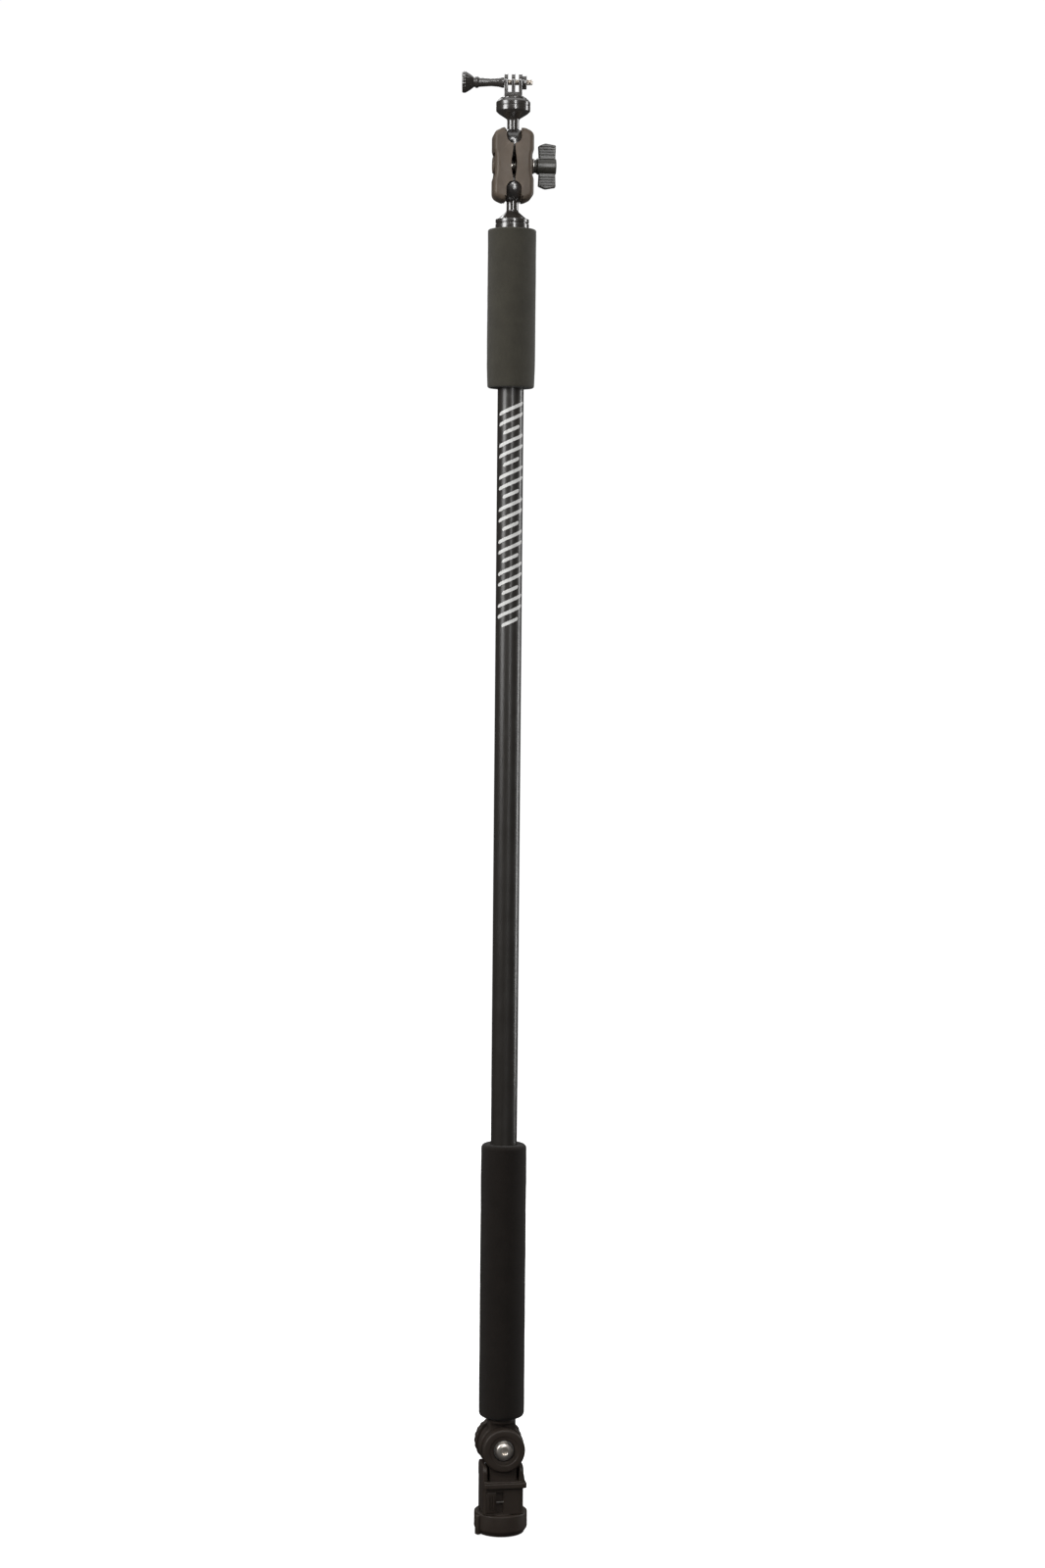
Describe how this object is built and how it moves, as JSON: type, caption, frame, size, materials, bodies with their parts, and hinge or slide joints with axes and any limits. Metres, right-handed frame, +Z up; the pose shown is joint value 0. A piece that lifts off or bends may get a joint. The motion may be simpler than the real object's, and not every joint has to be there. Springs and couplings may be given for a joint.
{
  "type": "selfie stick",
  "caption": "Long fixed boom pole for an action camera, with foam grips, a double-ball clamp arm and three-finger adapter on top, and a tilting base joint with a twist-lock collar.",
  "frame": {"origin": "on the pole's axis, in the plane of the base's bottom face", "axes": "+Z up along the pole, +X to the right seen from the elbow bolt's head, +Y away from it"},
  "size_m": [0.0807, 0.0471, 1.24],
  "materials": {
    "base_plastic": "matte black-brown moulded nylon",
    "gloss_black": "glossy black plastic",
    "arm_composite": "warm grey filled composite, satin",
    "knob_plastic": "dark greenish-grey plastic, satin",
    "pole_tube": "satin black coated tube",
    "black_foam": "black closed-cell foam",
    "grey_foam": "charcoal closed-cell foam",
    "ball_rubber": "black rubber, polished by the socket",
    "bolt_steel": "bright stainless steel",
    "steel": "zinc-plated steel",
    "brass": "turned brass"
  },
  "bodies": {
    "base": {"base_housing": "base_plastic", "elbow_front_disc": "base_plastic", "elbow_bolt": "bolt_steel", "elbow_bolt_washer": "steel", "collar_retaining_ring": "steel", "latch_spring": "steel"},
    "collar": {"lock_collar": "base_plastic"},
    "latch": {"latch_slider": "base_plastic"},
    "elbow_knob": {"elbow_knob": "base_plastic", "elbow_knob_nut": "steel"},
    "mast": {"elbow_tongue": "base_plastic", "elbow_washer_front": "brass", "elbow_washer_back": "brass", "mast_tube": "pole_tube", "lower_grip": "black_foam", "upper_grip": "grey_foam", "lower_pin": "steel", "upper_pin": "steel", "top_plug": "base_plastic", "top_seal_ring": "ball_rubber", "top_plug_screw": "steel"},
    "lower_ball": {"lower_stud": "gloss_black", "lower_ball": "ball_rubber"},
    "arm": {"arm_half_left": "arm_composite", "arm_bolt": "steel", "arm_spring": "steel"},
    "arm_clamp": {"arm_half_right": "arm_composite", "clamp_washer": "steel"},
    "clamp_knob": {"clamp_knob": "knob_plastic", "clamp_knob_insert": "brass"},
    "upper_ball": {"upper_stud": "gloss_black", "upper_ball": "ball_rubber", "adapter_stud": "steel"},
    "camera_adapter": {"camera_adapter": "gloss_black", "adapter_nut": "steel"},
    "thumb_screw": {"thumb_screw_knob": "gloss_black", "thumb_screw_rod": "bolt_steel"}
  },
  "joints": [
    {"name": "elbow_tilt", "type": "hinge", "parent": "base", "child": "mast", "pos_m": [0, 0, 0.0723], "axis": [-0.1564, 0.9877, 0], "range_deg": [-90, 90]},
    {"name": "elbow_knob_turn", "type": "hinge", "parent": "base", "child": "elbow_knob", "pos_m": [0, 0, 0.0723], "axis": [-0.1564, 0.9877, 0], "continuous": true},
    {"name": "collar_lock", "type": "hinge", "parent": "base", "child": "collar", "pos_m": [0, 0, 0.009], "axis": [0, 0, 1], "range_deg": [0, 45]},
    {"name": "latch_slide", "type": "slide", "parent": "base", "child": "latch", "axis": [0.9877, 0.1564, 0], "range_m": [0, 0.004], "stiffness_N_per_m": 300, "springref_m": -0.003, "deforming": ["latch_spring"]},
    {"name": "lower_ball_swivel", "type": "hinge", "parent": "mast", "child": "lower_ball", "pos_m": [0, 0, 1.141], "axis": [0, 0, 1], "continuous": true},
    {"name": "arm_tilt", "type": "hinge", "parent": "lower_ball", "child": "arm", "pos_m": [0, 0, 1.141], "axis": [0.9954, 0.0958, 0], "range_deg": [-80, 80]},
    {"name": "clamp_knob_turn", "type": "hinge", "parent": "arm_clamp", "child": "clamp_knob", "pos_m": [0, 0, 1.16005], "axis": [0.9954, 0.0958, 0], "range_deg": [0, 360]},
    {"name": "arm_release", "type": "slide", "parent": "arm", "child": "arm_clamp", "axis": [0.9954, 0.0958, 0], "range_m": [0, 0.0015], "deforming": ["arm_spring"]},
    {"name": "upper_ball_tilt", "type": "hinge", "parent": "arm", "child": "upper_ball", "pos_m": [0, 0, 1.1791], "axis": [0.9954, 0.0958, 0], "range_deg": [-75, 75]},
    {"name": "camera_swivel", "type": "hinge", "parent": "upper_ball", "child": "camera_adapter", "pos_m": [0, 0, 1.216], "axis": [0, 0, 1], "continuous": true},
    {"name": "thumb_screw_turn", "type": "hinge", "parent": "camera_adapter", "child": "thumb_screw", "pos_m": [0, 0, 1.2309], "axis": [1, 0, 0], "continuous": true}
  ],
  "couplings": [
    {"joint": "clamp_knob_turn", "follows": "arm_release", "rad_per_m": 4188}
  ]
}
